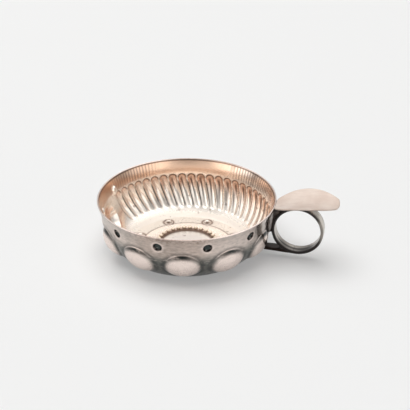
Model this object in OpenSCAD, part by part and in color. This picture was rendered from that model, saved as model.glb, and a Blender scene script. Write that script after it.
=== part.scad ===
// Wine taster's cup: a raised silver bowl with a soldered finger ring and thumb rest.
// The bowl stands on +Z with the centre of its base at the origin, and the handle points along +X.

/* [Bowl] */
// Outside diameter of the rim
rim_d = 82; // [76:1:96]
// Height from the base to the rim
bowl_h = 26; // [25:0.5:30]
// Thickness of the raised sheet
sheet = 0.8; // [0.6:0.1:1]
// Diameter of the ring that the bowl stands on
base_d = 54.6; // [52:0.2:58]
// Radius of the wall's curve in section
wall_r = 21; // [19:0.5:25]
// Depth of the plain band from the rim down to the flutes' wall
band_h = 9; // [8:0.5:10]
// How far the plain band leans out below the lip
band_lean = 0.45; // [0.2:0.05:1]
// Depth of the flared lip at the rim
lip_h = 4; // [3:0.2:5]
// How far the lip flares out over its depth
lip_flare = 1.7; // [0.8:0.1:2.2]

/* [Bosses and flutes] */
// Number of equal divisions round the bowl
division_count = 11; // [11:1:13]
// Number of divisions that hold one round boss each
boss_count = 6; // [4:1:6]
// Radius of the ball that raises a boss
boss_r = 9.8; // [9:0.2:11]
// How far a boss stands out from the wall
boss_rise = 2.35; // [2:0.05:3]
// Height of the bosses' centres above the base
boss_z = 9.9; // [9:0.1:11]
// How much wider than high a boss is
boss_stretch = 1.18; // [1:0.01:1.2]
// Turn of the bosses and dots towards the handle
boss_turn = 1; // [-1:0.1:1.5]
// Number of flutes that share the other divisions
flute_count = 24; // [18:1:24]
// Width of a flute at its head
flute_w = 4.1; // [3.6:0.1:4.2]
// Depth of a flute at its head
flute_depth = 0.9; // [0.7:0.1:1.1]
// Depth of a flute at its foot
foot_depth = 0.35; // [0.3:0.05:0.6]
// Distance from the rim down to the flutes' round heads
flute_top = 7.1; // [6.7:0.1:8.5]
// Height above the base of the ball that ends a flute's foot
flute_foot = 5; // [4.4:0.1:6]
// Lean of the flutes round the bowl
flute_lean = 15; // [0:1:18]
// Width of the dots punched between the bosses
dot_w = 4.4; // [3.4:0.1:5]
// Depth of a punched dot
dot_depth = 1; // [0.7:0.1:1.2]
// Distance from the rim down to the dots' centres
dot_drop = 5.5; // [5:0.1:6.5]

/* [Floor] */
// Number of pearls round the floor
pearl_count = 8; // [6:1:12]
// Diameter of a pearl
pearl_d = 3.2; // [2.2:0.1:3.4]
// Radius of the circle of pearls
pearl_circle_r = 24; // [23.8:0.1:24.4]
// Height of a pearl above the floor
pearl_rise = 1.2; // [0.9:0.1:1.4]
// Angle of the first pearl round the bowl
pearl_turn = 33.5; // [0:0.5:45]
// Radius at which the raised middle leaves the floor
collar_r = 21.6; // [20.5:0.1:22.2]
// Radius of the raised middle's crest
crest_r = 13.7; // [12.5:0.1:14.5]
// Height of the crest above the base
crest_z = 2.8; // [2.4:0.1:3.4]
// Height of the sunk centre above the base
well_z = 1; // [1:0.1:1.4]
// Number of beads round the crest
bead_count = 30; // [26:1:34]
// Diameter of a bead
bead_d = 1.9; // [1.5:0.1:2]

/* [Finger ring] */
// Bore of the finger ring
ring_bore_d = 21.1; // [19:0.1:22]
// Thickness of the strap
strap_t = 1.3; // [0.8:0.1:1.5]
// Width of the strap
strap_w = 6; // [5:0.2:7]
// Width of the ring's tail where it meets the bowl
tail_w = 4.6; // [4:0.2:5]
// Slope of the ring's tail up to the bowl
tail_slope = 2; // [1:1:8]
// Gap between the ring and the bowl, filled by a seam
ring_gap = 0.15; // [0.1:0.05:0.4]

/* [Thumb rest] */
// Length of the thumb rest from the rim to its tip
rest_l = 29.2; // [28:0.2:32]
// Greatest width of the thumb rest
rest_w = 20.8; // [19:0.2:24]
// Width of the thumb rest where it meets the rim
root_w = 9.2; // [8:0.2:10]
// Thickness of the thumb rest
rest_t = 0.9; // [0.7:0.1:1.2]
// Distance from the rim to the widest place
rest_widest = 14; // [13:0.1:15]
// Radius of each side of the outline
side_r = 21.2; // [20:0.2:24]
// Distance from the rim over which the root widens to the full outline
root_l = 7; // [5:0.5:8]
// Radius of the hollow across the thumb rest
hollow_r = 24; // [20:1:40]
// Radius of the crown along the thumb rest
crown_r = 142; // [120:2:180]
// Distance from the rim to the top of the crown
crown_x = 28; // [24:1:32]
// Height of the root's face above the rim
root_rise = 0.6; // [0.4:0.1:0.7]

/* [Seams] */
// Gap that a seam of solder fills
seam_gap = 0.2; // [0.1:0.05:0.3]
// Reach of a seam out from its joint
seam_reach = 1.6; // [1.2:0.1:2]
// How far a seam stays inside the edge of the strap
seam_inset = 0.4; // [0.2:0.1:0.8]

/* [Hidden] */
$fn = 72;
cut = 1;

// Section of the wall: an arc through the base edge and the foot of the plain band
rim_r = rim_d / 2;
base_r = base_d / 2;
lip_z = bowl_h - lip_h;
lip_r = rim_r - lip_flare;
band_z = bowl_h - band_h;
band_r = lip_r - band_lean;
chord = norm([band_r - base_r, band_z]);
chord_off = sqrt(wall_r * wall_r - chord * chord / 4);
arc_x = (base_r + band_r) / 2 - chord_off * band_z / chord;
arc_z = band_z / 2 + chord_off * (band_r - base_r) / chord;
wall_steps = 5;

// How far below the arc's centre a height on the wall lies, as an angle
function fall(z, r = wall_r) = asin((arc_z - z) / r);
function wall_face(z) = arc_x + wall_r * cos(fall(z));

// A flute follows a circle that stands out from the wall more at its head than at its foot
flute_r = (flute_w * flute_w / 4 + flute_depth * flute_depth) / (2 * flute_depth);
head_z = bowl_h - flute_top - flute_w / 2;
head_fall = fall(head_z);
foot_fall = fall(flute_foot);
flute_run = foot_fall - head_fall;
flute_shift = (flute_depth - foot_depth) / (1 - cos(flute_run));
flute_path_r = wall_r - flute_r + flute_depth - flute_shift;
flute_sweep = flute_run + asin(flute_shift * sin(flute_run) / flute_path_r);
head_swell = 0.06;
lobe_reach = arc_x + (wall_r + flute_depth + head_swell) * cos(head_fall);
function flute_stand(z) = flute_depth - flute_shift * (1 - cos(fall(z) - head_fall));

// Angles round the bowl, counted from the handle
division = 360 / division_count;
flute_pitch = (360 - division * boss_count) / flute_count;
dot_r = (dot_w * dot_w / 4 + dot_depth * dot_depth) / (2 * dot_depth);
dot_z = bowl_h - dot_drop;

// The ring hangs under the crown of the thumb rest and stands clear of the lobes
ring_r = ring_bore_d / 2 + strap_t;
ring_x = lobe_reach + ring_gap + ring_r;
crown_mid_x = rim_r + crown_x;
crown_mid_z = bowl_h + root_rise - sqrt(crown_r * crown_r - crown_x * crown_x);
ring_hang = crown_r - rest_t - seam_gap - ring_r;
ring_z = crown_mid_z + sqrt(pow(ring_hang, 2) - pow(ring_x - crown_mid_x, 2));
bore_r = ring_bore_d / 2;
strap_mid_r = ring_r - strap_t / 2;

// The tail leaves the foot of the ring, a little inside its outer face, and runs up to the wall
tail_reach = ring_x - wall_face(ring_z - strap_mid_r);
tail_z = ring_z - strap_mid_r / cos(tail_slope) + tail_reach * tan(tail_slope);
tail_end = (ring_x - wall_face(tail_z)) / cos(tail_slope) - strap_mid_r * tan(tail_slope);
tail_tuck = 0.1;
tail_start = 1;
tail_buried = 6;
tail_gap = seam_gap + flute_stand(tail_z);

// Points of the bowl's section: skin is 0 for the inner face and the sheet's thickness for the outer
function wall_points(skin) =
    let (r = wall_r - sheet + skin)
    let (low = fall(sheet - skin, r), high = fall(band_z, r))
    [for (i = [0:wall_steps])
        let (a = low + (high - low) * i / wall_steps)
        [arc_x + r * cos(a), arc_z - r * sin(a)]];

function middle_points(skin) =
    let (inset = sheet - skin, step = (crest_z - well_z) / 3)
    [[0, well_z - skin], [crest_r - step - inset, well_z - skin], [crest_r - inset, crest_z - skin],
     [crest_r + skin, crest_z - skin], [collar_r, sheet - skin]];

function band_points(skin, lid) =
    let (inset = sheet - skin)
    [[lip_r - inset, lip_z], [rim_r - inset + lid * lip_flare / lip_h, bowl_h + lid], [0, bowl_h + lid]];

module flute(j, skin) {
    path_r = flute_path_r - sheet + skin;
    rotate([0, 0, flute_pitch * (j + 0.5)])
        translate([0, 0, head_z])
            rotate([-flute_lean, 0, 0])
                translate([arc_x, 0, arc_z - head_z])
                    rotate([90, head_fall, 0])
                        translate([flute_shift, 0, 0]) {
                            rotate_extrude(start = -flute_sweep, angle = flute_sweep)
                                translate([path_r, 0])
                                    circle(flute_r, $fn = $fn / 3);
                            for (a = [0, -flute_sweep])
                                rotate([0, 0, a])
                                    translate([path_r, 0, 0])
                                        sphere(flute_r + head_swell, $fn = $fn / 3);
                        }
}

module boss(k, skin) {
    rotate([0, 0, boss_turn - division * (k + 0.5)])
        translate([arc_x, 0, arc_z])
            rotate([0, fall(boss_z), 0])
                translate([wall_r + boss_rise - boss_r, 0, 0])
                    scale([1, boss_stretch, 1])
                        sphere(boss_r - sheet + skin);
}

// A dot is punched from outside, so it dents the outer face and swells the inner one
module dot(k, skin) {
    band_tilt = atan(band_lean / (band_h - lip_h));
    rotate([0, 0, boss_turn - division * k])
        translate([band_r + (dot_z - band_z) * tan(band_tilt), 0, dot_z])
            rotate([0, band_tilt, 0])
                translate([dot_r - dot_depth, 0, 0])
                    sphere(dot_r + sheet - skin, $fn = 32);
}

module pearl(k) {
    rotate([0, 0, pearl_turn + 360 * k / pearl_count])
        translate([pearl_circle_r, 0, sheet + pearl_rise - pearl_d / 2])
            sphere(d = pearl_d, $fn = 20);
}

module bead(k) {
    rotate([0, 0, 360 * k / bead_count])
        translate([crest_r - sheet / 2, 0, crest_z])
            sphere(d = bead_d, $fn = 14);
}

module bowl_form(skin, lid, flutes, bosses) {
    rotate_extrude()
        polygon(concat(middle_points(skin), wall_points(skin), band_points(skin, lid)));
    for (j = flutes)
        flute(j, skin);
    for (k = bosses)
        boss(k, skin);
}

// The filled outside of the bowl close to the handle, which shapes what is soldered to it
module bowl_by_handle() {
    bowl_form(sheet, cut, [0:1], [], $fn = 288);
}

module bowl_outside() {
    difference() {
        bowl_form(sheet, 0, [0:flute_count - 1], [0:boss_count - 1]);
        for (k = [1:boss_count])
            dot(k, sheet);
    }
}

module bowl_inside() {
    difference() {
        bowl_form(0, cut, [0:flute_count - 1], [0:boss_count - 1]);
        for (k = [1:boss_count])
            dot(k, 0);
        for (k = [0:pearl_count - 1])
            pearl(k);
        for (k = [0:bead_count - 1])
            bead(k);
    }
}

module bowl() {
    color("silver")
        difference() {
            bowl_outside();
            bowl_inside();
        }
}

// Frames of the finger ring: round its bore, and turned so that the tail runs along -X
module at_ring() {
    translate([ring_x, 0, ring_z])
        children();
}

module at_tail() {
    at_ring()
        rotate([0, tail_slope, 0])
            children();
}

// A drum on the axis of the ring
module ring_drum(r, w) {
    at_ring()
        rotate([90, 0, 0])
            cylinder(r = r, h = w, center = true, $fn = 180);
}

module tail() {
    at_tail()
        translate([0, 0, tail_tuck - ring_r])
            linear_extrude(strap_t)
                polygon([[-tail_start, -strap_w / 2], [-tail_start, strap_w / 2],
                         [-tail_end - tail_buried, tail_w / 2], [-tail_end - tail_buried, -tail_w / 2]]);
}

module finger_ring() {
    color("gray")
        difference() {
            union() {
                ring_drum(ring_r, strap_w);
                tail();
            }
            ring_drum(bore_r, strap_w + 2 * cut);
            bowl_form(sheet + tail_gap, cut, [], []);
        }
}

// Outline of the thumb rest seen from above: two arcs, a blunt tip and a narrowed root
module rest_outline() {
    widest_x = rim_r + rest_widest;
    side_y = side_r - rest_w / 2;
    shoulder = sqrt(pow(side_r, 2) - pow(rest_widest - root_l, 2)) - side_y;
    intersection() {
        translate([widest_x, -side_y])
            circle(side_r);
        translate([widest_x, side_y])
            circle(side_r);
        translate([widest_x, 0])
            circle(rest_l - rest_widest);
        polygon([[rim_r - cut, -root_w / 2], [rim_r + root_l, -shoulder], [rim_r + rest_l + cut, -rest_w],
                 [rim_r + rest_l + cut, rest_w], [rim_r + root_l, shoulder], [rim_r - cut, root_w / 2]]);
    }
}

// The thumb rest is swept round a crown below it, from a section that is hollow across
module crown_sweep() {
    turn = 2 * asin((rest_l + 2 * cut) / crown_r);
    translate([crown_mid_x, 0, crown_mid_z])
        rotate([90, 0, 0])
            rotate_extrude(start = 90 - turn / 2, angle = turn, $fn = 360)
                intersection() {
                    children();
                    translate([crown_r - 2 * rest_t, -rest_w])
                        square([hollow_r / 2, 2 * rest_w]);
                }
}

module hollow_disc(r) {
    translate([crown_r + hollow_r, 0])
        circle(r, $fn = 180);
}

module root_cutter() {
    cylinder(r = rim_r + seam_gap, h = 3 * bowl_h, center = true, $fn = 360);
}

module thumb_rest() {
    color("mistyrose")
        difference() {
            intersection() {
                crown_sweep()
                    difference() {
                        hollow_disc(hollow_r + rest_t);
                        hollow_disc(hollow_r);
                    }
                linear_extrude(2 * bowl_h)
                    rest_outline();
            }
            root_cutter();
        }
}

// Everything from the underside of the thumb rest upwards, outside the rim
module rest_space() {
    difference() {
        crown_sweep()
            hollow_disc(hollow_r + rest_t);
        root_cutter();
    }
}

// Solder under the root of the thumb rest, against the flared lip
module rim_seam() {
    half_turn = asin(root_w / 2 / rim_r);
    foot_z = bowl_h - (rest_t - root_rise) - seam_reach;
    top_z = bowl_h + root_rise / 2;
    color("lightgray")
        difference() {
            rotate_extrude(start = -half_turn, angle = 2 * half_turn, $fn = 360)
                polygon([[rim_r - (bowl_h - foot_z) * lip_flare / lip_h, foot_z], [rim_r, bowl_h],
                         [rim_r + seam_gap, top_z], [rim_r + seam_gap + seam_reach, top_z]]);
            rest_space();
        }
}

// Solder between the top of the ring and the underside of the thumb rest
module ring_top_seam() {
    color("lightgray")
        difference() {
            at_ring()
                translate([-seam_reach, seam_inset - strap_w / 2, 0])
                    cube([2 * seam_reach, strap_w - 2 * seam_inset, ring_r + rest_w / 4]);
            ring_drum(ring_r, strap_w);
            rest_space();
        }
}

// Solder between the side of the ring and the bowl's wall
module ring_side_seam() {
    reach_x = ring_x - ring_r + seam_reach / 4;
    color("lightgray")
        difference() {
            translate([arc_x, seam_inset - strap_w / 2, ring_z - seam_reach])
                cube([reach_x - arc_x, strap_w - 2 * seam_inset, 2 * seam_reach]);
            ring_drum(ring_r, strap_w);
            bowl_by_handle();
        }
}

// Solder round the end of the tail, against the foot of the wall
module tail_seam() {
    foot_z = tail_tuck - ring_r - seam_reach / 2;
    color("lightgray")
        difference() {
            at_tail()
                translate([-tail_end - tail_buried, -tail_w / 2 - seam_inset, foot_z])
                    cube([tail_buried + tail_gap + seam_reach / 2, tail_w + 2 * seam_inset,
                          strap_t + seam_reach]);
            difference() {
                tail();
                bowl_form(sheet + tail_gap, cut, [], [], $fn = 288);
            }
            bowl_by_handle();
        }
}

// Solder in the corner where the strap comes round and closes on its own tail
module closing_seam() {
    tail_top = bore_r - tail_tuck;
    corner_x = sqrt(ring_r * ring_r - tail_top * tail_top);
    color("lightgray")
        difference() {
            at_tail()
                translate([-corner_x - seam_reach, seam_inset - strap_w / 2, -tail_top])
                    cube([seam_reach + seam_inset, strap_w - 2 * seam_inset, bore_r / 2]);
            ring_drum(ring_r, strap_w);
        }
}

bowl();
finger_ring();
thumb_rest();
rim_seam();
ring_top_seam();
ring_side_seam();
tail_seam();
closing_seam();
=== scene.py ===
import math

import bpy
import numpy as np
from mathutils import Matrix, Vector


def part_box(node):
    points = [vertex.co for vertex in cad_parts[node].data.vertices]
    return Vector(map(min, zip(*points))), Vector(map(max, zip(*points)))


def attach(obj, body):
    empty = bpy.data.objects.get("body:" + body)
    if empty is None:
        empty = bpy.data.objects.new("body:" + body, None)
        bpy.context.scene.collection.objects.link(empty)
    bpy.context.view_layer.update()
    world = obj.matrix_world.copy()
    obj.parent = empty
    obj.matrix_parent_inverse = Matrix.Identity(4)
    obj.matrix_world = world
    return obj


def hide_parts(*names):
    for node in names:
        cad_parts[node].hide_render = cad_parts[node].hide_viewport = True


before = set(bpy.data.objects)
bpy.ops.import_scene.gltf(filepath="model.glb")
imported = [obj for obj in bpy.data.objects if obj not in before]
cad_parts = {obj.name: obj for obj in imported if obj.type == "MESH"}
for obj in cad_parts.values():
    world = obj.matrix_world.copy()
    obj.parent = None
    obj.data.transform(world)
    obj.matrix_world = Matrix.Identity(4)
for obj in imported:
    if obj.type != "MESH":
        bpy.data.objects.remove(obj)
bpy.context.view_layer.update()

mm = 0.001  # shapes are in mm and degrees, finishes and studio in metres
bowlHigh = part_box("bowl")[1]
rimRadius, rimHeight = bowlHigh.x / mm, bowlHigh.z / mm
print("frame loaded, rim", round(rimRadius, 2), "by", round(rimHeight, 2), "mm")


def wayTo(turn, height):  # degrees to the right of the front, and above the table
    a, e = math.radians(turn), math.radians(height)
    return Vector((math.sin(a) * math.cos(e), -math.cos(a) * math.cos(e), math.sin(e)))


# Camera, fitted to the rim's ellipse in the 410 pixel frame
cameraPlace = {
    "azimuth": 11.5,
    "elevation": 27.903,
    "distance": 700.0,
    "framePixels": 410.0,
    "rimPixel": (186.763, 197.008),
    "rimPixelRadius": 89.613,
    "sensorWidth": 36.0,
    "clip": (0.01, 20.0),
}


def placeCamera(place):
    back = wayTo(place["azimuth"], place["elevation"])
    right = wayTo(place["azimuth"] + 90, 0)
    up = back.cross(right)
    middle = place["framePixels"] / 2
    focal = place["rimPixelRadius"] / rimRadius * place["distance"]
    aside = (place["rimPixel"][0] - middle) / focal * place["distance"]
    above = (middle - place["rimPixel"][1]) / focal * place["distance"]
    spot = Vector((0, 0, rimHeight)) + back * place["distance"] - right * aside - up * above
    data = bpy.data.cameras.new("tasterCamera")
    data.sensor_width = place["sensorWidth"]
    data.lens = focal * place["sensorWidth"] / place["framePixels"]
    data.clip_start, data.clip_end = place["clip"]
    camera = bpy.data.objects.new("tasterCamera", data)
    bpy.context.scene.collection.objects.link(camera)
    turn = Matrix((right, up, back)).transposed().to_4x4()
    camera.matrix_world = Matrix.Translation(spot * mm) @ turn
    bpy.context.scene.camera = camera


placeCamera(cameraPlace)
print("camera placed")


# Shader maths: a wire holds one output socket, and operators add Math nodes
class Wire:
    def __init__(self, tree, socket=None):
        self.tree, self.socket = tree, socket

    def add(self, kind, settings=None, sockets=None, out=0):
        node = self.tree.nodes.new(kind)
        for name, value in (settings or {}).items():
            setattr(node, name, value)
        for name, value in (sockets or {}).items():
            if isinstance(value, Wire):
                self.tree.links.new(value.socket, node.inputs[name])
            else:
                node.inputs[name].default_value = value
        return Wire(self.tree, node.outputs[out] if len(node.outputs) else None)

    def math(self, operation, first, second):
        return self.add("ShaderNodeMath", {"operation": operation}, {0: first, 1: second})

    def __add__(self, other):
        return self.math("ADD", self, other)

    def __sub__(self, other):
        return self.math("SUBTRACT", self, other)

    def __rsub__(self, other):
        return self.math("SUBTRACT", other, self)

    def __mul__(self, other):
        return self.math("MULTIPLY", self, other)

    def __pow__(self, other):
        return self.math("POWER", self, other)

    __radd__ = __add__
    __rmul__ = __mul__


def rgb(red, green, blue):  # screen values 0 to 255 to linear light
    def linear(c):
        c = c / 255
        return c / 12.92 if c <= 0.04045 else ((c + 0.055) / 1.055) ** 2.4
    return (linear(red), linear(green), linear(blue), 1.0)


def startMaterial(name):
    material = bpy.data.materials.new(name)
    material.use_nodes = True
    material.node_tree.nodes.clear()
    return material, Wire(material.node_tree)


def blendColour(w, factor, low, high):
    return w.add("ShaderNodeMix", {"data_type": "RGBA"}, {0: factor, 6: low, 7: high}, 2)


def coats(w, colour, finish, layers):  # each factor lays its tone over what is there
    for factor, tone in layers:
        colour = blendColour(w, factor, colour, finish[tone])
    return colour


def mask(w, value, low, high):  # smooth step from low to high
    return w.add("ShaderNodeMapRange", {"interpolation_type": "SMOOTHSTEP"},
                 {"Value": value, "From Min": low, "From Max": high})


def apart(w, value, middle):  # how far a value lies from the middle
    return w.math("ABSOLUTE", value - middle, 0.0)


def pointLayers(w, *names):  # values worked out for each point of the mesh
    return [w.add("ShaderNodeAttribute", {"attribute_name": name}, {}, 2) for name in names]


def objectPlace(w):
    return w.add("ShaderNodeTexCoord", {}, {}, "Object")


def axes(w, place):
    return [w.add("ShaderNodeSeparateXYZ", {}, {"Vector": place}, i) for i in range(3)]


def stretched(w, place, scale):
    return w.add("ShaderNodeVectorMath", {"operation": "MULTIPLY"}, {0: place, 1: scale})


def cloud(w, place, scale, detail, rough):
    return w.add("ShaderNodeTexNoise", {}, {"Vector": place, "Scale": scale, "Detail": detail,
                                            "Roughness": rough})


def bump(w, height, strength, distance):
    return w.add("ShaderNodeBump", {}, {"Height": height, "Strength": strength, "Distance": distance})


def finishMetal(w, colour, roughness, normal, metallic):
    shader = w.add("ShaderNodeBsdfPrincipled", {}, {"Base Color": colour, "Roughness": roughness,
                                                    "Metallic": metallic, "Normal": normal})
    w.add("ShaderNodeOutputMaterial", {}, {"Surface": shader})


# Mesh helpers
def makePiece(name, points, faces, layers=None):
    mesh = bpy.data.meshes.new(name)
    mesh.from_pydata((np.asarray(points) * mm).tolist(), [], faces)
    for layerName, values in (layers or {}).items():
        mesh.attributes.new(layerName, "FLOAT", "POINT").data.foreach_set("value", np.asarray(values, "f"))
    mesh.polygons.foreach_set("use_smooth", [True] * len(mesh.polygons))
    mesh.update()
    piece = bpy.data.objects.new(name, mesh)
    bpy.context.scene.collection.objects.link(piece)
    return piece


def gridFaces(rows, columns, start=0):  # quads between neighbouring closed rows of points
    faces = []
    for i in range(rows - 1):
        low, high = start + i * columns, start + (i + 1) * columns
        for j in range(columns):
            k = (j + 1) % columns
            faces.append((low + j, low + k, high + k, high + j))
    return faces


def smoothStep(low, high, value):
    t = np.clip((value - low) / (high - low), 0, 1)
    return t * t * (3 - 2 * t)


def ridge(value, middle, width):  # 1 at the middle, falling off to both sides
    return np.exp(-((value - middle) / width) ** 2)


def softMax(a, b, ease):  # the larger of two, with a soft corner
    return 0.5 * (a + b + np.sqrt((a - b) ** 2 + ease * ease))


def straightRuns(keys, counts):  # points from key to key, without the last key
    line = []
    for a, b, n in zip(keys, keys[1:], counts):
        line += [tuple(np.add(a, np.subtract(b, a) * t)) for t in np.arange(n) / n]
    return line


def ball(centre, radius, turns, rings, lowest):  # flat below, so that it ends inside the sheet
    points = [(centre[0], centre[1], centre[2] + radius)]
    for i in range(1, rings):
        a = math.pi * i / rings
        for j in range(turns):
            b = 2 * math.pi * j / turns
            points.append((centre[0] + radius * math.sin(a) * math.cos(b),
                           centre[1] + radius * math.sin(a) * math.sin(b),
                           max(centre[2] + radius * math.cos(a), lowest)))
    points.append((centre[0], centre[1], lowest))
    faces = [(0, 1 + j, 1 + (j + 1) % turns) for j in range(turns)]
    faces += [face[::-1] for face in gridFaces(rings - 1, turns, 1)]
    end, low = len(points) - 1, len(points) - 1 - turns
    faces += [(end, low + (j + 1) % turns, low + j) for j in range(turns)]
    return points, faces


# Bowl: one sheet with the same forms on both faces
bowlShape = {
    "sheet": 0.8,
    "baseRadius": 27.3,
    "wallRadius": 21.0,
    "bandDepth": 9.0,
    "bandLean": 0.45,
    "lipDepth": 4.0,
    "lipFlare": 1.7,
    "collarRadius": 21.6,
    "crestRadius": 13.7,
    "crestHeight": 2.8,
    "wellHeight": 1.0,
    "innerRows": (8, 8, 6, 22, 24, 78, 28, 16),
    "outerRows": (5, 6, 5, 10, 8, 66, 28, 12),
    "cornerPasses": 4,
    "lipPasses": 320,
    "rimSteps": 7,
    "wobble": 0.12,
    "creaseShift": 0.1,
    "creaseWidth": 0.22,
    "creaseDepth": 0.12,
    "creaseTone": 0.25,
    "wellEdge": (9.0, 11.5),
    "collarStart": (14.0, 15.5),
    "collarEnd": (20.0, 22.0),
    "stepBack": 1.15,
    "stepWidth": 0.5,
    "crestBack": 0.3,
    "crestWidth": 0.9,
}
chasing = {
    "divisions": 11,
    "bosses": 6,
    "bossBall": 9.8,
    "bossRise": 2.35,
    "bossHeight": 9.9,
    "bossStretch": 1.18,
    "bossTurn": 1.0,
    "hugReach": 1.1,
    "flutes": 24,
    "fluteWidth": 4.1,
    "fluteDepth": 0.9,
    "footDepth": 0.35,
    "fluteTop": 7.1,
    "fluteFoot": 5.0,
    "fluteLean": 15.0,
    "headRadius": 38.0,
    "dotRadius": 2.25,
    "dotDepth": 1.0,
    "dotDrop": 5.5,
    "dotWiden": 0.35,
    "dotLip": 0.06,
    "dotLipSpread": (1.12, 0.16),
    "dotEdgeSpread": (1.15, 0.22),
    "crescentWidth": 6.5,
    "columnsPerFlute": 14,
    "columnsPerBoss": 54,
    "ease": 0.10,
}
floorBeads = {
    "pearls": 8,
    "pearlRadius": 1.6,
    "pearlCircle": 24.0,
    "pearlRise": 1.2,
    "pearlTurn": 33.5,
    "recessRadius": 2.4,
    "recessWidth": 0.40,
    "recessDepth": 0.3,
    "beads": 30,
    "beadRadius": 0.97,
    "pearlSteps": (24, 12),
    "beadSteps": (18, 10),
    # way to the painted dark reflection on each pearl
    "spotWay": (0.18, -0.89, 0.42),
}


class BowlForm:
    def __init__(self, shape, chase, beads):
        self.shape, self.chase, self.beads = shape, chase, beads
        self.lipRadius = rimRadius - shape["lipFlare"]
        self.bandHeight = rimHeight - shape["bandDepth"]
        self.bandRadius = self.lipRadius - shape["bandLean"]
        base, wall = shape["baseRadius"], shape["wallRadius"]
        chord = math.hypot(self.bandRadius - base, self.bandHeight)
        off = math.sqrt(wall * wall - chord * chord / 4)
        self.arcX = (base + self.bandRadius) / 2 - off * self.bandHeight / chord
        self.arcZ = self.bandHeight / 2 + off * (self.bandRadius - base) / chord
        self.division = 360 / chase["divisions"]
        self.pitch = (360 - self.division * chase["bosses"]) / chase["flutes"]
        self.headZ = rimHeight - chase["fluteTop"] - chase["fluteWidth"] / 2
        self.creaseRadius = shape["collarRadius"] + shape["creaseShift"]

    def fall(self, z, radius=None):
        return math.asin((self.arcZ - z) / (radius or self.shape["wallRadius"]))

    def profile(self, skin, counts):
        s = self.shape
        inset = s["sheet"] - skin
        radius = s["wallRadius"] - inset
        step = (s["crestHeight"] - s["wellHeight"]) / 3
        low, high = self.fall(inset, radius), self.fall(self.bandHeight, radius)
        arc = [(self.arcX + radius * math.cos(a), self.arcZ - radius * math.sin(a))
               for a in np.linspace(low, high, counts[5] + 1)]
        crest = s["crestRadius"]
        keys = [(0, s["wellHeight"] - skin), (crest - step - inset, s["wellHeight"] - skin),
                (crest - inset, s["crestHeight"] - skin), (crest + skin, s["crestHeight"] - skin),
                (s["collarRadius"], inset), arc[0]]
        line = straightRuns(keys, counts) + arc[:-1]
        keys = [arc[-1], (self.lipRadius - inset, rimHeight - s["lipDepth"]),
                (rimRadius - inset, rimHeight - s["sheet"] / 2)]
        line = np.array(line + straightRuns(keys, counts[6:]) + [keys[-1]])
        for _ in range(s["cornerPasses"]):  # rounds the corners a little
            line[1:-1] = (line[:-2] + 2 * line[1:-1] + line[2:]) / 4
        upper = line[-counts[6] - counts[7] - 3:]
        for _ in range(s["lipPasses"]):  # the lip flares in one soft curve
            upper[1:-1] = (upper[:-2] + 2 * upper[1:-1] + upper[2:]) / 4
        return line

    def columns(self):
        c = self.chase
        flutes = np.arange(c["flutes"] * c["columnsPerFlute"]) / c["columnsPerFlute"] * self.pitch
        u = np.arange(c["columnsPerBoss"]) / c["columnsPerBoss"]
        share = u - 0.5 * np.sin(2 * np.pi * u) / (2 * np.pi)  # closer together near the dots
        start = c["flutes"] * self.pitch + c["bossTurn"] / 2
        bosses = [start + (k + share) * self.division for k in range(c["bosses"])]
        return np.radians(np.concatenate([flutes] + bosses))

    def flutes(self, r, z, turn):
        c = self.chase
        wall = self.shape["wallRadius"]
        depth = c["fluteDepth"]
        radius = (c["fluteWidth"] ** 2 / 4 + depth ** 2) / (2 * depth)
        headFall, footFall = self.fall(self.headZ), self.fall(c["fluteFoot"])
        run = footFall - headFall
        shift = (depth - c["footDepth"]) / (1 - math.cos(run))
        below = np.arcsin(np.clip((self.arcZ - z) / wall, -1, 1)) - headFall
        crest = depth - shift * (1 - np.cos(np.clip(below, 0, run)))
        past = np.clip(below - run, 0, None) * wall
        lean = np.arctan(np.clip(self.headZ - z, 0, None) * math.tan(math.radians(c["fluteLean"])) / r)
        pitch = math.radians(self.pitch)
        place = (turn + lean) / pitch
        number = np.floor(place)
        aside = (place - number - 0.5) * pitch * r
        inFlutes = (number >= 0) & (number < c["flutes"])
        reach = np.sqrt(aside ** 2 + np.clip(z - self.headZ, 0, None) ** 2 + past ** 2)
        d = crest - radius + np.sqrt(np.clip(radius ** 2 - reach ** 2, 0, None))
        depth = np.where(inFlutes & (z > 1) & (d > -0.6), softMax(d, 0, c["ease"]), 0.0)
        return depth, place, inFlutes & (z > 1)

    def bosses(self, r, z, nr, nz, turn, skin):  # how far a boss lies out along the wall's normal
        c, s = self.chase, self.shape
        radius = c["bossBall"] - s["sheet"] + skin
        a = self.fall(c["bossHeight"])
        arm = s["wallRadius"] + c["bossRise"] - c["bossBall"]
        cr, cz = self.arcX + arm * math.cos(a), self.arcZ - arm * math.sin(a)
        place = (math.radians(c["bossTurn"]) - turn) / math.radians(self.division) - 0.5
        number = np.round(place) % c["divisions"]
        off = (np.round(place) - place) * math.radians(self.division)
        wide = np.sin(off) / c["bossStretch"]
        toX, toY, toZ = cr - r * np.cos(off), -r * wide, cz - z
        aimX, aimY, aimZ = nr * np.cos(off), nr * wide, nz + 0 * off
        square = aimX ** 2 + aimY ** 2 + aimZ ** 2
        along = toX * aimX + toY * aimY + toZ * aimZ
        gap = along ** 2 - square * (toX ** 2 + toY ** 2 + toZ ** 2 - radius ** 2)
        t = (along + np.sqrt(np.clip(gap, 0, None))) / square
        onBoss = (gap > 0) & (number < c["bosses"]) & (z > 0.5)
        return np.where(onBoss, np.clip(t, 0, None), 0.0), r * off

    def dots(self, r, z, turn):  # distance to the nearest dot's middle
        c = self.chase
        step = math.radians(self.division)
        place = (math.radians(c["bossTurn"]) - turn) / step
        number = np.round(place) % c["divisions"]
        off = (place - np.round(place)) * step
        away = np.hypot(off * r, z - (rimHeight - c["dotDrop"]))
        return np.where((number >= 1) & (number <= c["bosses"]), away, 99.0)  # 99 where there is none

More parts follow.
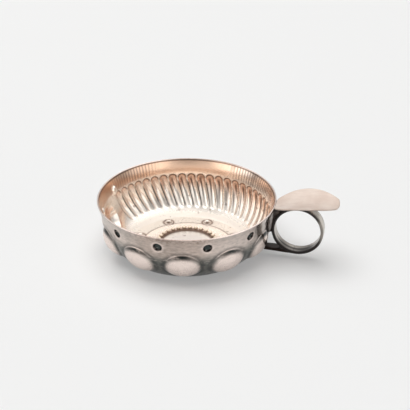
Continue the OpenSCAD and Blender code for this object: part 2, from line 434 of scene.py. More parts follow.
    def pearlSpots(self):
        b = self.beads
        turns = np.radians(b["pearlTurn"] + 360 * np.arange(b["pearls"]) / b["pearls"])
        return b["pearlCircle"] * np.cos(turns), b["pearlCircle"] * np.sin(turns)

    def face(self, skin, counts):  # one face of the sheet, with the layers that its finish reads
        s, c, b = self.shape, self.chase, self.beads
        section = self.profile(skin, counts)
        slope = np.gradient(section, axis=0)
        slope /= np.linalg.norm(slope, axis=1)[:, None]
        nr, nz = slope[:, 1][:, None], -slope[:, 0][:, None]  # outwards, away from the wine
        r, z = section[:, 0][:, None], section[:, 1][:, None]
        turn = self.columns()[None, :]
        turn = np.where(turn > np.pi, turn - 2 * np.pi, turn)
        wallZ = np.where(r > s["baseRadius"] - 1, z, -5.0)
        flute, fluteTurn, fluted = self.flutes(np.maximum(r, 1), wallZ, turn)
        boss, aside = self.bosses(r, wallZ, nr, nz, turn, skin)
        away = self.dots(r, z, turn)
        dotRadius = c["dotRadius"] + (c["dotWiden"] if skin == 0 else 0.0)
        dent = 1 - smoothStep(0.5, 1.0, away / dotRadius)
        push = np.maximum(flute, boss) - c["dotDepth"] * dent
        if skin:
            push = push + c["dotLip"] * ridge(away / dotRadius, *c["dotLipSpread"])
        x, y = r * np.cos(turn), r * np.sin(turn)
        ring = np.zeros_like(push)
        if skin == 0:
            for px, py in zip(*self.pearlSpots()):
                fromPearl = np.hypot(x - px, y - py)
                ring = np.maximum(ring, ridge(fromPearl, b["recessRadius"], b["recessWidth"]))
            crease = s["creaseDepth"] * ridge(r, self.creaseRadius, s["creaseWidth"])
            push = push + np.where(wallZ < 0, b["recessDepth"] * ring + crease, 0)
        level = z / rimHeight  # hand-made, so the rim is not quite round or flat
        sway = s["wobble"] * (np.sin(2 * turn + 0.6) + 0.6 * np.sin(5 * turn + 1.9)) * level
        dip = 0.8 * s["wobble"] * np.sin(3 * turn + 0.4) * level ** 4
        rr = r + nr * push + np.where(r > 1, sway, 0) * (z > 3)
        zz = z + nz * push + dip
        points = np.stack([rr * np.cos(turn), rr * np.sin(turn), zz], axis=-1)
        near = self.bosses(r, wallZ, nr, nz, turn, skin + c["hugReach"])[0] / c["hugReach"]
        known = {"dot": dent, "ring": ring, "bossNear": near, "fluteTurn": fluteTurn, "fluted": fluted}
        return points, self.layers(skin, r, z, turn, flute, boss, aside, away, known)

    def layers(self, skin, r, z, turn, flute, boss, aside, away, known):
        s, c = self.shape, self.chase
        share = boss / c["bossRise"]
        upper = smoothStep(0.45, 0.85, (z - c["bossHeight"]) / (self.bandHeight - c["bossHeight"]))
        flat = 0 * boss
        made = {
            "flute": flute / c["fluteDepth"],
            "boss": share,
            "bead": flat,
            "level": z / rimHeight,
            "inner": 1 if skin == 0 else 0,
            "side": r * np.cos(turn) / rimRadius,
            "bossTop": upper * smoothStep(0.04, 0.14, share) * (1 - smoothStep(0.30, 0.62, share))
            * ridge(aside, 0.0, c["crescentWidth"]),
            "bossArc": upper * smoothStep(0.0, 0.03, share) * (1 - smoothStep(0.05, 0.13, share)),
            "crease": ridge(r, self.creaseRadius, s["creaseTone"]) * (skin == 0),
            "step": ridge(r, s["crestRadius"] - s["stepBack"], s["stepWidth"]),
            "crest": ridge(r, s["crestRadius"] - s["crestBack"], s["crestWidth"]),
            "well": 1 - smoothStep(*s["wellEdge"], r),
            "collar": smoothStep(*s["collarStart"], r) * (1 - smoothStep(*s["collarEnd"], r)),
            "dotEdge": ridge(away / c["dotRadius"], *c["dotEdgeSpread"]),
        }
        return {name: value + flat for name, value in {**made, **known}.items()}


bowlForm = BowlForm(bowlShape, chasing, floorBeads)


def buildBowl():
    beads, sheet = floorBeads, bowlShape["sheet"]
    inner, innerLayers = bowlForm.face(0, bowlShape["innerRows"])
    outer, outerLayers = bowlForm.face(sheet, bowlShape["outerRows"])
    n = inner.shape[1]
    innerEdge, outerEdge = inner[-1], outer[-1]
    rimRows = []
    for t in np.linspace(0, math.pi, bowlShape["rimSteps"])[1:-1]:  # rounded edge of the rim
        edge = (innerEdge + outerEdge) / 2 + (innerEdge - outerEdge) / 2 * math.cos(t)
        edge[:, 2] += sheet / 2 * math.sin(t)
        rimRows.append(edge)
    rows = np.concatenate([inner[1:], np.array(rimRows), outer[::-1][:-1]])
    points = np.concatenate([inner[0][:1], rows.reshape(-1, 3), outer[0][:1]])
    faces = [face[::-1] for face in gridFaces(len(rows), n, 1)]
    end = len(points) - 1
    low = 1 + (len(rows) - 1) * n
    faces += [(0, 1 + j, 1 + (j + 1) % n) for j in range(n)]
    faces += [(end, low + (j + 1) % n, low + j) for j in range(n)]
    layers = {}
    for key in innerLayers:
        one, two = innerLayers[key], outerLayers[key]
        edge = np.repeat((one[-1:] + two[-1:]) / 2, len(rimRows), axis=0)
        flat = np.concatenate([one[1:], edge, two[::-1][:-1]]).ravel()
        layers[key] = np.concatenate([one[0][:1], flat, two[0][:1]])
    points = points.tolist()

    def addBall(centre, radius, steps, lowest, tag):
        nonlocal points, faces
        more, moreFaces = ball(centre, radius, *steps, lowest)
        start = len(points)
        points += more
        faces += [tuple(i + start for i in face) for face in moreFaces]
        way = (np.array(more) - centre) / radius
        # painted shade at the foot of each ball
        foot = 1 - smoothStep(-0.1, 0.6, way[:, 2])
        # painted dark reflection on each pearl's side towards spotWay
        spot = smoothStep(0.80, 0.92, way @ beads["spotWay"]) if tag < 1 else 0.0
        values = {"inner": 1.0, "bead": tag, "level": 0.1, "ring": np.maximum(foot, spot)}
        for key in layers:
            layers[key] = np.concatenate([layers[key], np.zeros(len(more)) + values.get(key, 0.0)])

    pearlZ = sheet + beads["pearlRise"] - beads["pearlRadius"]
    for px, py in zip(*bowlForm.pearlSpots()):
        addBall((px, py, pearlZ), beads["pearlRadius"], beads["pearlSteps"], sheet / 2, 0.5)
    around = bowlShape["crestRadius"] - sheet / 2
    for k in range(beads["beads"]):
        turn = 2 * math.pi * k / beads["beads"]
        place = (around * math.cos(turn), around * math.sin(turn), bowlShape["crestHeight"])
        addBall(place, beads["beadRadius"], beads["beadSteps"], place[2] - sheet / 2, 1.0)
    piece = makePiece("bowlShell", points, faces, layers)
    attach(piece, "root")
    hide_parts("bowl")
    return piece


bowlFinish = {
    "polished": rgb(250, 241, 231),
    "cream": rgb(237, 228, 217),
    "worn": rgb(230, 222, 215),
    "tan": rgb(245, 226, 211),
    "lip": rgb(238, 207, 183),
    "brown": rgb(210, 154, 119),
    "taupe": rgb(158, 130, 114),
    "umber": rgb(98, 70, 55),
    "reflectionBlack": rgb(48, 36, 30),
    "grey": rgb(120, 108, 102),
    "gold": rgb(240, 224, 202),
    "rubbedAndLit": rgb(236, 221, 213),
    "bandGrey": rgb(208, 195, 186),
    "teal": rgb(82, 92, 90),
    "slate": rgb(46, 50, 50),
    "black": rgb(34, 29, 28),
    "blotchScale": 90.0,
    "fineScale": 900.0,
    "speckScale": 330.0,
    "streakScale": 260.0,
    "grainScale": 420.0,
    "roughness": 0.17,
    "ripples": 150.0,
    "headTone": 0.58,
    "coreTone": 0.88,
    "innerMetal": 0.85,
    "wellMetal": 0.10,
    "coreTurn": 0.60,
}


def fluteTones(w, finish, level, side, inside):  # painted shade in the heads, painted dark reflections in the cores and along the creases, painted shadow at the feet
    head, foot = bowlForm.headZ / rimHeight, chasing["fluteFoot"] / rimHeight
    fluted, place = pointLayers(w, "fluted", "fluteTurn")
    turn = w.math("FRACT", place, 0.0)
    run = (head - level) * (1 / (head - foot))  # 0 at the head, 1 at the foot
    rise = w.math("MAXIMUM", (level - head) * rimHeight, 0.0)
    aside = (turn - 0.5) * (math.radians(bowlForm.pitch) * chasing["headRadius"])
    away = (aside * aside + rise * rise) ** 0.5  # from the middle line, and round the head
    far, left = mask(w, side, -0.25, -0.65), mask(w, side, 0.35, -0.05)
    # painted shade in each head
    brown = mask(w, away, 2.1, 1.5) * mask(w, run + 0.20 * far, 0.50, 0.02) * fluted
    inside = blendColour(w, brown * finish["headTone"], inside, finish["brown"])
    # painted dark reflection in the core of each flute, umber near the head and grey lower down
    reach = apart(w, turn, finish["coreTurn"]) + run * 0.16
    core = mask(w, reach, 0.20, 0.07) * mask(w, run, 0.80, 0.35) * mask(w, run, -0.10, 0.10) * fluted
    tone = blendColour(w, mask(w, run, 0.10, 0.50), finish["umber"], finish["grey"])
    inside = blendColour(w, core * (1 - 0.8 * far) * finish["coreTone"], inside, tone)
    # painted shade along the arch round each head
    arc = mask(w, away, 1.30, 1.80) * mask(w, away, 2.40, 2.05) * mask(w, run, 0.06, -0.08) * fluted
    edge = 0.5 - apart(w, turn, 0.5) - 0.03 * mask(w, run, 0.6, 1.0) - 0.025 * left
    edge = edge - 0.04 * mask(w, run, 0.86, 0.98)  # painted shadow in each rounded foot
    # painted dark reflection lines along the flutes' edges, stronger on the left
    line = mask(w, edge, 0.075, 0.015) * mask(w, run, 0.04, 0.25) * mask(w, run, 1.06, 0.97) * fluted
    line = line * (0.46 + 0.48 * left) * (1 - 0.4 * mask(w, run, 0.70, 0.95))
    # a second, thinner painted dark reflection line in each flute
    thin = mask(w, apart(w, turn, 0.86), 0.035, 0.010) * mask(w, run, 0.15, 0.3) * mask(w, run, 0.95, 0.75)
    inside = coats(w, inside, finish, [(arc * 0.85, "umber"), (line, "reflectionBlack"),
                                       (thin * fluted * 0.45, "umber")])
    return inside, fluted


def insideTones(w, finish, place, blotch, level, side, dot, well, collar):
    ring, bead, crease = pointLayers(w, "ring", "bead", "crease")
    near, step, crest = pointLayers(w, "bossNear", "step", "crest")
    x, y, _ = axes(w, place)
    film = mask(w, level + side * 0.34 + (blotch - 0.5) * 0.16, 0.32, 0.70)
    onFloor = mask(w, level, 0.14, 0.06) * (1 - well) * (1 - collar)
    inside = coats(w, finish["polished"], finish, [(film, "tan"), (onFloor, "cream")])
    inside, fluted = fluteTones(w, finish, level, side, inside)
    band = mask(w, level, 0.72, 0.78)
    ripple = w.math("SINE", w.math("ARCTAN2", y, x) * finish["ripples"] + blotch * 3.0, 0.0)
    ends = (mask(w, side, 0.28, 0.42) + mask(w, side, -0.48, -0.66)) * mask(w, y, -0.004, 0.004)
    streak = cloud(w, stretched(w, place, (1.0, 1.0, 0.06)), finish["streakScale"], 2.0, 0.5)
    stain = mask(w, near, 0.2, 0.8) * mask(w, blotch, 0.44, 0.58) * mask(w, side, -0.35, -0.6)
    speck = mask(w, cloud(w, place, finish["speckScale"], 1.0, 0.5), 0.70, 0.76)
    inside = coats(w, inside, finish, [
        (band * (1 - 0.80 * mask(w, side, 0.15, 0.6)), "lip"),  # film on the band, thinner at the right
        (band * mask(w, side, 0.25, 0.60) * 0.6, "polished"),
        (band * mask(w, side, -0.45, -0.75) * 0.2, "taupe"),
        (mask(w, ripple, -0.6, 0.8) * ends * band * 0.6, "taupe"),
        (mask(w, streak, 0.48, 0.62) * mask(w, side, 0.2, 0.4) * band * 0.4, "taupe"),
        (stain * 0.8, "brown"),
        (mask(w, dot, 0.2, 0.7), "polished"),
        (well, "worn"),
        (collar * 0.5, "tan"),
        (mask(w, level, 0.955, 0.975) * 0.8, "umber"),  # dark line under the rim
        # painted shade round the foot of the bead row, and on the inner step below it
        (crest * (1 - bead) * 0.5, "brown"),
        (step * (1 - bead) * 0.85, "umber"),
        (crease ** 0.3 * 0.45, "taupe"),
        (crease * 0.6, "umber"),
        (mask(w, bead, 0.6, 0.9), "gold"),
        (ring ** 0.35 * 0.5, "taupe"),  # painted shade at the foot of the pearls and beads and in the recess round each pearl, and a painted dark reflection on each pearl
        (ring * 0.8, "umber"),
        (speck * 0.5, "umber"),
    ])
    return inside, fluted


def outsideTones(w, finish, place, blotch, fine, level, side, dot, rubbedAndLit, middle):
    flute, edge, near, upper, arc = pointLayers(w, "flute", "dotEdge", "bossNear", "bossTop", "bossArc")
    low = mask(w, level + (blotch - 0.5) * 0.12, 0.70, 0.46)
    grain = cloud(w, stretched(w, place, (1.0, 1.0, 2.5)), finish["grainScale"], 3.0, 0.6)
    worn = mask(w, level, 0.86, 0.97) * mask(w, fine, 0.42, 0.62)
    return coats(w, finish["bandGrey"], finish, [
        (mask(w, blotch, 0.35, 0.65) * 0.35, "teal"),
        (middle * 0.3, "taupe"),
        # painted light: the band lighter towards the right
        (mask(w, side, 0.25, 0.60) * 0.4, "rubbedAndLit"),
        (low * 0.8, "teal"),  # darker towards the bottom, between the bosses
        (mask(w, near, 0.10, 1.0) * 0.45, "slate"),
        # painted shadow along the foot of the bowl
        (mask(w, level, 0.20, 0.04) * 0.7, "black"),
        (rubbedAndLit, "rubbedAndLit"),
        (upper, "slate"),  # dark crescent and pale arc at the top of each boss
        (arc * 0.6, "rubbedAndLit"),
        (mask(w, flute, 0.3, 0.9), "bandGrey"),
        (edge * 0.55, "rubbedAndLit"),  # dots: pale edges, black inside as tarnish in the dimples and painted dark reflection, with a painted paler reflection in the middle
        (mask(w, dot, 0.0, 0.16), "black"),
        (mask(w, dot, 0.55, 1.0) * 0.5, "teal"),
        (mask(w, grain, 0.45, 0.70) * (0.22 - 0.14 * rubbedAndLit), "slate"),
        (mask(w, grain, 0.48, 0.30) * 0.22, "rubbedAndLit"),
        (worn * middle * 0.5, "umber"),
    ])


def bowlSilver(finish):
    material, w = startMaterial("bowlSilver")
    place = objectPlace(w)
    inner, level, boss, dot, side = pointLayers(w, "inner", "level", "boss", "dot", "side")
    well, collar = pointLayers(w, "well", "collar")
    blotch = cloud(w, place, finish["blotchScale"], 4.0, 0.6)
    fine = cloud(w, place, finish["fineScale"], 3.0, 0.6)
    rubbedAndLit = mask(w, boss, 0.06, 0.55)
    middle = 1 - mask(w, apart(w, side, 0.05), 0.25, 0.60)
    inside, fluted = insideTones(w, finish, place, blotch, level, side, dot, well, collar)
    outside = outsideTones(w, finish, place, blotch, fine, level, side, dot, rubbedAndLit, middle)
    colour = blendColour(w, inner, outside, inside)
    # the rim's top edge paler, rubbed and with a painted highlight, least in the middle
    rimTop = mask(w, inner, 0.05, 0.35) * mask(w, inner, 0.95, 0.65)
    colour = blendColour(w, rimTop * (0.9 - 0.5 * middle), colour, finish["rubbedAndLit"])
    dull = (1 - rubbedAndLit * 0.4) * (1 - inner) * (0.16 - 0.2 * mask(w, side, 0.75, 0.92))
    dull = dull + mask(w, level, 0.16, 0.05) * inner * 0.12
    roughness = finish["roughness"] + dull + fluted * inner * 0.05
    roughness = roughness + (0.02 + 0.10 * inner) * (fine - 0.5) + 0.08 * (blotch - 0.5)
    normal = bump(w, fine * 0.12 + blotch * 3.0, 0.06, 0.0004)
    matt = well * (finish["innerMetal"] - finish["wellMetal"])  # well and floor are matt
    matt = matt + (1 - well) * mask(w, level, 0.16, 0.06) * 0.60
    metal = 1 - inner * (1 - finish["innerMetal"] + matt)
    finishMetal(w, colour, roughness, normal, metal)
    return material


bowl = buildBowl()
bowl.data.materials.append(bowlSilver(bowlFinish))
print("bowl made,", len(bowl.data.polygons), "faces")


# Finger ring: one strap that starts at the wall as a tail, runs round and closes on itself
strapShape = {
    "centre": (51.7925, 15.2856),
    "boreRadius": 10.55,
    "thick": 1.3,
    "width": 6.0,
    "tailWidth": 4.6,
    "tailShear": 1.1,
    "tailSlope": 2.0,
    "tailTrim": 0.5,
    "cornerRadius": 0.34,
    "crown": 0.10,
    "overlap": 6.0,
    "turnSteps": 150,
    "tailSteps": 24,
}


def strapSection(width, thick, corner, crown):
    points = []
    for sy, sn, start in ((1, 1, 0), (-1, 1, 90), (-1, -1, 180), (1, -1, 270)):
        for i in range(5):
            a = math.radians(start + 90 * i / 4)
            points.append((sy * (width / 2 - corner) + corner * math.cos(a),
                           sn * (thick / 2 - corner) + corner * math.sin(a)))
        if start in (0, 180):
            for t in (0.25, 0.5, 0.75):
                y = sy * (width / 2 - corner) * (1 - 2 * t)
                swell = crown * (1 - (2 * y / width) ** 2) if start == 0 else 0
                points.append((y, sn * thick / 2 + swell))
    return points


def buildStrap():
    s = strapShape
    middle = s["boreRadius"] + s["thick"] / 2
    tailLength = s["centre"][0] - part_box("finger_ring")[0].x / mm - s["tailTrim"]
    path = []
    for t in np.linspace(0, 1, s["tailSteps"], endpoint=False):
        path.append((-tailLength * (1 - t), -middle, 0.0, -1.0,
                     s["tailWidth"] + (s["width"] - s["tailWidth"]) * t))
    for a in np.linspace(-90, 270 - s["overlap"], s["turnSteps"]):
        c, d = math.cos(math.radians(a)), math.sin(math.radians(a))
        path.append((middle * c, middle * d, c, d, s["width"]))
    slope = math.radians(s["tailSlope"])
    points = []
    layers = {"edge": [], "tail": [], "inside": [], "below": []}
    for x, z, nx, nz, width in path:
        for y, n in strapSection(width, s["thick"], s["cornerRadius"], s["crown"]):
            layers["edge"].append(float(smoothStep(0.84, 0.98, abs(y) * 2 / width)))
            layers["tail"].append(float(nx == 0 and x < -1) * float(smoothStep(1.0, 6.0, -x)))
            layers["inside"].append(1.0 if n < 0 else 0.0)
            layers["below"].append(float(smoothStep(0.5, 0.95, -z / middle)))
            px, pz = x + nx * n, z + nz * n
            if nx == 0:  # the tail's end leans with the wall
                px += s["tailShear"] * (s["thick"] / 2 - n) * (x / tailLength) ** 4
            points.append((s["centre"][0] + px * math.cos(slope) + pz * math.sin(slope), y,
                           s["centre"][1] - px * math.sin(slope) + pz * math.cos(slope)))
    count = len(points) // len(path)
    faces = [face[::-1] for face in gridFaces(len(path), count)]
    faces += [tuple(range(count)), tuple(range(len(points) - count, len(points)))[::-1]]
    piece = makePiece("fingerRing", points, faces, layers)
    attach(piece, "root")
    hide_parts("finger_ring")
    return piece


ringFinish = {
    "light": rgb(202, 194, 184),
    "grey": rgb(146, 143, 139),
    "dark": rgb(46, 43, 42),
    "tail": rgb(40, 32, 29),
    "stripes": 2417.0,
    "stripeStart": 1.7,
    "blotchScale": 160.0,
    "lineScale": 300.0,
    "roughness": 0.22,
    "stripeSide": (0.0020, 0.0012),
    "stripeTop": (0.0160, 0.0080),
    "shadeSide": (0.0022, -0.0002),
    "cornerAlong": (0.0500, 0.0575),
    "cornerTop": (0.0125, 0.0085),
    "cornerSide": (0.0010, -0.0010),
    "paleAlong": (0.0555, 0.0610),
    "paleLow": (0.0090, 0.0125),
    "paleTop": (0.0225, 0.0190),
    "bowlAlong": (0.0495, 0.0440),
}


def ringSilver(finish):
    material, w = startMaterial("ringSilver")
    place = objectPlace(w)
    edge, tail, inside, below = pointLayers(w, "edge", "tail", "inside", "below")
    along, across, height = axes(w, place)
    blotch = cloud(w, place, finish["blotchScale"], 4.0, 0.6)
    lines = cloud(w, stretched(w, place, (1.0, 12.0, 1.0)), finish["lineScale"], 2.0, 0.5)
    wave = w.math("SINE", across * finish["stripes"] + blotch * 1.2 + finish["stripeStart"], 0.0)
    stripe = mask(w, wave, -0.1, 0.7) * mask(w, across, *finish["stripeSide"])
    stripe = stripe * mask(w, height, *finish["stripeTop"])
    corner = mask(w, along, *finish["cornerAlong"]) * mask(w, height, *finish["cornerTop"])
    corner = corner * mask(w, across, *finish["cornerSide"])
    pale = mask(w, along, *finish["paleAlong"]) * mask(w, height, *finish["paleLow"])
    pale = pale * mask(w, height, *finish["paleTop"])
    colour = coats(w, finish["light"], finish, [
        (mask(w, blotch, 0.35, 0.7) * 0.5, "grey"),
        # painted shade on the inner face: a little all over, more low on its front half, most in a patch
        # there
        (inside * (0.17 + 0.50 * below * mask(w, across, *finish["shadeSide"])), "dark"),
        (inside * stripe * 0.85, "dark"),  # dark lines along the back part of the inner face
        (inside * corner * 0.7, "dark"),
        ((1 - inside) * mask(w, along, *finish["bowlAlong"]), "dark"),  # painted shade on the outer face towards the bowl
        # painted shade on the strap's edges, less of it low on the ring's right side
        (edge * (0.95 - 0.50 * pale), "dark"),
        # painted shade: the tail lies in the shade of the ring and bowl
        (tail, "tail"),
    ])
    roughness = finish["roughness"] + 0.2 * (blotch - 0.5) + 0.12 * (lines - 0.5) + 0.12 * edge
    normal = bump(w, lines + blotch, 0.15, 0.0003)
    finishMetal(w, colour, roughness, normal, 1.0)
    return material


ring = buildStrap()
ring.data.materials.append(ringSilver(ringFinish))
print("finger ring made,", len(ring.data.polygons), "faces")


# Thumb rest: a leaf with rounded edges, hollow across and crowned along
restShape = {
    "length": 29.2,
    "width": 20.8,
    "rootWidth": 9.2,
    "thick": 0.9,
    "widest": 14.0,
    "sideRadius": 21.2,
    "rootLength": 7.0,
    "rootBulge": 0.35,
    "hollowRadius": 24.0,
    "crownRadius": 142.0,
    "crownPlace": 28.0,
    "rootRise": 0.6,
    "gap": 0.2,
    "edgeRound": 0.4,
    "spine": (5.0, 20.0),
    "spineShare": 0.03,
    "cornerPasses": 6,
    "outlineSteps": 150,
    "outlineEase": 0.85,
    "rootSteps": 9,
    "edgeSteps": 9,
    "loops": 26,
}


def restHalfWidth(s, x):  # half the width at a distance from the rim
    sideY = s["sideRadius"] - s["width"] / 2
    side = math.sqrt(max(s["sideRadius"] ** 2 - (x - s["widest"]) ** 2, 0)) - sideY
    tipRadius = s["length"] - s["widest"]
    tip = math.sqrt(max(tipRadius ** 2 - (x - s["widest"]) ** 2, 0))
    return max(min(side, tip), 0.0)


def restOutline(s):
    shoulder = restHalfWidth(s, s["rootLength"])
    half = []
    for t in np.linspace(0, 1, s["outlineSteps"]):
        x = s["length"] * math.sin(math.pi / 2 * t) ** s["outlineEase"] if t else 0.0
        y = restHalfWidth(s, x)
        if x < s["rootLength"]:
            u = x / s["rootLength"]
            bulge = (1 + s["rootBulge"]) * u - s["rootBulge"] * u * u
            y = s["rootWidth"] / 2 + (shoulder - s["rootWidth"] / 2) * bulge
        half.append((x, y))
    return np.array(half)


def restTop(s, x, y):  # height of the upper face
    drop = s["crownRadius"] - math.sqrt(s["crownRadius"] ** 2 - (x - s["crownPlace"]) ** 2)
    startDrop = s["crownRadius"] - math.sqrt(s["crownRadius"] ** 2 - s["crownPlace"] ** 2)
    rise = s["hollowRadius"] - math.sqrt(s["hollowRadius"] ** 2 - y * y)
    return rimHeight + s["rootRise"] + startDrop - drop + rise


def buildRest():
    s = restShape
    side = restOutline(s)
    rootY = np.linspace(0, side[0][1], s["rootSteps"])[:-1]
    side = np.concatenate([[(0.0, y) for y in rootY], side])
    for _ in range(s["cornerPasses"]):  # rounds the corners of the outline
        side[1:-1] = (side[:-2] + 2 * side[1:-1] + side[2:]) / 4
    outline = np.concatenate([side, side[-2:0:-1] * (1, -1)])
    n = len(outline)
    spine = np.stack([np.clip(outline[:, 0], *s["spine"]), np.zeros(n)], axis=1)
    tangent = np.roll(outline, -1, axis=0) - np.roll(outline, 1, axis=0)
    normal = np.stack([tangent[:, 1], -tangent[:, 0]], axis=1)
    normal /= np.linalg.norm(normal, axis=1)[:, None]
    if np.sum(normal * (outline - spine)) < 0:
        normal = -normal
    edge = s["edgeRound"]
    loops = []  # (share towards the spine, inset, side up or down)
    for share in np.linspace(s["spineShare"], 1, s["loops"]):
        loops.append((share, edge, 1.0))
    for a in np.linspace(90, -90, s["edgeSteps"])[1:-1]:
        loops.append((1.0, edge * (1 - math.cos(math.radians(a))), math.sin(math.radians(a))))
    for share in np.linspace(1, s["spineShare"], s["loops"]):
        loops.append((share, edge, -1.0))
    points = []
    for share, inset, lift in loops:
        flat = spine + (outline - normal * inset - spine) * share
        for x, y in flat:
            start = math.sqrt(max((rimRadius + s["gap"]) ** 2 - y * y, 0)) - rimRadius
            px = max(x, start)
            z = restTop(s, px, y) - s["thick"] / 2 + lift * s["thick"] / 2
            points.append((rimRadius + px, y, z))
    faces = gridFaces(len(loops), n)
    across = [(i, i + 1, n - i - 1, n - i) for i in range(1, n // 2 - 1)]  # closes the innermost loops
    across += [(0, 1, n - 1), (n // 2 - 1, n // 2, n // 2 + 1)]
    low = len(points) - n
    faces += [face[::-1] for face in across] + [tuple(low + i for i in face) for face in across]
    piece = makePiece("thumbRest", points, faces)
    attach(piece, "root")
    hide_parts("thumb_rest")
    return piece


restFinish = {
    "satin": rgb(209, 197, 188),
    "shade": rgb(199, 184, 174),
    "worn": rgb(174, 158, 149),
    "blotchScale": 110.0,
    "lineScale": 90.0,
    "roughness": 0.70,
}


def restSilver(finish):
    material, w = startMaterial("restSilver")
    place = objectPlace(w)
    lines = cloud(w, stretched(w, place, (1.0, 34.0, 6.0)), finish["lineScale"], 3.0, 0.65)
    blotch = cloud(w, place, finish["blotchScale"], 3.0, 0.5)
    colour = coats(w, finish["satin"], finish, [(mask(w, blotch, 0.35, 0.7), "shade"),
                                                (mask(w, lines, 0.52, 0.72) * 0.4, "worn")])
    roughness = finish["roughness"] + 0.16 * (lines - 0.5) + 0.1 * (blotch - 0.5)
    normal = bump(w, lines, 0.14, 0.0003)
    finishMetal(w, colour, roughness, normal, 1.0)
    return material


rest = buildRest()
rest.data.materials.append(restSilver(restFinish))
print("thumb rest made,", len(rest.data.polygons), "faces")


# Solder: one long run in the throat between ring and wall, near black as painted shade; the short seams
# keep their CAD solids
throatShape = {
    "low": 13.4,
    "high": 25.5,
    "halfWidth": (2.6, 2.2),
    "hollow": 0.22,
    "bite": 0.35,
    "paleReach": 1.5,
    "paleLean": 0.75,
    "wallFrom": 30.0,
    "wallStrip": 0.6,
    "wallSlice": 0.3,
    "rows": 24,
    "steps": 7,
}


def buildThroat():
    s, strap = throatShape, strapShape
    wall = np.array([v.co for v in bowl.data.vertices  # the wall's section behind the ring
                     if abs(v.co.y) < s["wallStrip"] * mm and v.co.x > s["wallFrom"] * mm]) / mm
    reach = strap["boreRadius"] + strap["thick"] - s["bite"]
    points, pale = [], []
    for t in np.linspace(0, 1, s["rows"]):
        z = s["low"] + (s["high"] - s["low"]) * t
        left = wall[np.abs(wall[:, 2] - z) < s["wallSlice"]][:, 0].max() - s["bite"]
        right = strap["centre"][0] - math.sqrt(reach ** 2 - (z - strap["centre"][1]) ** 2)
        half = s["halfWidth"][0] + (s["halfWidth"][1] - s["halfWidth"][0]) * t
        front = [(left + (right - left) * u, -half * (1 - s["hollow"] * math.sin(math.pi * u)), z)
                 for u in np.linspace(0, 1, s["steps"])]
        points += front + [(x, -y, z) for x, y, z in front[::-1]]
        spread = [s["paleReach"] * math.sin(math.pi * t ** s["paleLean"]) + left - x for x, y, z in front]
        pale += [max(v, 0.0) for v in spread + spread[::-1]]
    n = 2 * s["steps"]
    faces = gridFaces(s["rows"], n)
    faces += [tuple(range(n))[::-1], tuple(range((s["rows"] - 1) * n, s["rows"] * n))]
    piece = makePiece("throatSolder", points, faces, {"pale": pale})
    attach(piece, "root")
    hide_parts("ring_side_seam")
    return piece


solderFinish = {
    "pale": rgb(84, 78, 75),
    "dull": rgb(40, 36, 34),
    "clean": rgb(192, 186, 182),
    "blotchScale": 500.0,
    "roughness": 0.36,
}


def solderSilver(finish):
    material, w = startMaterial("solderSilver")
    place = objectPlace(w)
    blotch = cloud(w, place, finish["blotchScale"], 4.0, 0.6)
    clean = mask(w, pointLayers(w, "pale")[0], 0.1, 0.6)  # filed clean at the wall
    # near-black solder tones as painted shade
    colour = coats(w, finish["pale"], finish, [(mask(w, blotch, 0.3, 0.7), "dull"), (clean, "clean")])
    roughness = finish["roughness"] + 0.2 * (blotch - 0.5)
    normal = bump(w, blotch, 0.35, 0.0004)
    finishMetal(w, colour, roughness, normal, 1 - 0.6 * clean)
    return material


solder = solderSilver(solderFinish)
throat = buildThroat()
throat.data.materials.append(solder)
# the short seams take the same near-black finish, painted shade
for seam in ("rim_seam", "ring_top_seam", "tail_seam", "closing_seam"):
    for node in [o for o in bpy.data.objects if o.type == "MESH" and o.name.split(".")[0] == seam]:
        node.data.materials.clear()
        node.data.materials.append(solder)
print("seams finished")


# Floor, light and surroundings
studio = {
    "floorColour": (0.58, 0.58, 0.575, 1.0),
    "floorGlow": 0.29,
    "floorHalf": 1.6,
    "floorGrain": 40.0,
    "floorShade": 0.97,
    "floorMottle": 0.04,
    "floorRoughness": 0.85,
    "floorSpecular": 0.1,
    "lampPlace": (-0.80, 0.35, 1.00),
    "lampAim": (0.0, 0.0, 0.0),
    "lampSize": 1.0,
    "lampPower": 1.6,
    "skyLow": 0.10,
    "skyShown": 0.44,
    "skyBack": 0.10,
    "backSpread": (-0.7, 0.7),
    "skyFront": 0.52,
    "frontSpread": (0.1, -0.6),
    "frontHeight": (0.40, 0.20),
    "boxes": (  # turn, height, light, as shown, edge
        (-52.0, 24.0, 0.30, 1.05, 0.80),
        (64.0, 20.0, 0.20, 0.75, 0.80),
        (160.0, 68.0, 0.0, 1.30, 0.66),
        (-125.0, 81.0, 3.72, 0.0, 0.81),
    ),
    "boxCore": 0.95,
    "frontTint": (1.0, 0.92, 0.86, 1.0),
    "tintSpread": (0.0, -0.6),
    "tintHeight": (0.45, 0.20),
    "cardTurn": 11.5,
    "cardHeight": 30.0,
    "cardSpread": (0.93, 0.985),
    "cardDark": 0.45,
}
white = (1.0, 1.0, 1.0, 1.0)


def floorMaterial(s):  # a lit table, so that shadows stay light
    material, w = startMaterial("paleFloor")
    grain = cloud(w, objectPlace(w), s["floorGrain"], 2.0, 0.5)
    shade = tuple(c * s["floorShade"] for c in s["floorColour"][:3]) + (1.0,)
    tint = blendColour(w, grain * s["floorMottle"], s["floorColour"], shade)
    shader = w.add("ShaderNodeBsdfPrincipled", {}, {"Base Color": tint, "Roughness": s["floorRoughness"],
                                                    "Specular IOR Level": s["floorSpecular"],
                                                    "Emission Color": white,
                                                    "Emission Strength": s["floorGlow"]})
    w.add("ShaderNodeOutputMaterial", {}, {"Surface": shader})
    return material


def buildFloor(s):
    half = s["floorHalf"] / mm
    corners = [(-half, -half, 0), (half, -half, 0), (half, half, 0), (-half, half, 0)]
    floor = makePiece("paleFloor", corners, [(0, 1, 2, 3)])
    floor.data.materials.append(floorMaterial(s))


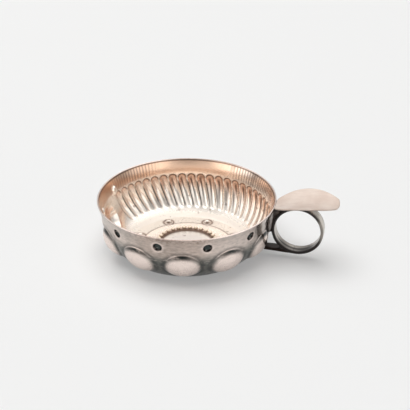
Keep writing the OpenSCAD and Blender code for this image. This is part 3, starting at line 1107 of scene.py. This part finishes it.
def buildLamp(s):
    lamp = bpy.data.lights.new("softLamp", "AREA")
    lamp.shape, lamp.size, lamp.energy = "SQUARE", s["lampSize"], s["lampPower"]
    lampObject = bpy.data.objects.new("softLamp", lamp)
    lampObject.location = s["lampPlace"]
    aim = Vector(s["lampAim"]) - Vector(s["lampPlace"])
    lampObject.rotation_euler = aim.to_track_quat("-Z", "Y").to_euler()
    bpy.context.scene.collection.objects.link(lampObject)


def facing(w, place, turn, height):  # 1 straight towards a point of the tent
    way = wayTo(turn, height)
    return w.add("ShaderNodeVectorMath", {"operation": "DOT_PRODUCT"}, {0: place, 1: way}, 1)


def buildTent(s):  # the metal shows a pale tent, the floor gets its light from the boxes
    world = bpy.data.worlds.new("softTent")
    world.use_nodes = True
    world.node_tree.nodes.clear()
    w = Wire(world.node_tree)
    place = w.add("ShaderNodeTexCoord", {}, {}, "Generated")
    _, across, height = axes(w, place)
    seen, glossy, through = (w.add("ShaderNodeLightPath", {}, {}, name) for name in
                             ("Is Camera Ray", "Is Glossy Ray", "Is Transmission Ray"))
    shown = w.math("MAXIMUM", w.math("MAXIMUM", seen, glossy), through)
    sky = s["skyLow"] + (s["skyShown"] - s["skyLow"]) * shown
    sky = sky + s["skyBack"] * mask(w, across, *s["backSpread"]) * shown
    front = mask(w, across, *s["frontSpread"]) * mask(w, height, *s["frontHeight"])
    fill = s["skyFront"] * front * shown
    for turn, boxHeight, light, asShown, edge in s["boxes"]:
        box = mask(w, facing(w, place, turn, boxHeight), edge, s["boxCore"])
        fill = fill + (light + (asShown - light) * shown) * box
    card = mask(w, facing(w, place, s["cardTurn"], s["cardHeight"]), *s["cardSpread"])
    strength = (sky + fill) * (1 - s["cardDark"] * card)  # a dark card round the camera
    warm = mask(w, across, *s["tintSpread"]) * mask(w, height, *s["tintHeight"])
    tint = blendColour(w, warm, white, s["frontTint"])
    tent = w.add("ShaderNodeBackground", {}, {"Color": tint, "Strength": strength})
    w.add("ShaderNodeOutputWorld", {}, {"Surface": tent})
    bpy.context.scene.world = world


buildFloor(studio)
buildLamp(studio)
buildTent(studio)
bpy.context.scene.view_settings.view_transform = "Standard"
print("studio made")
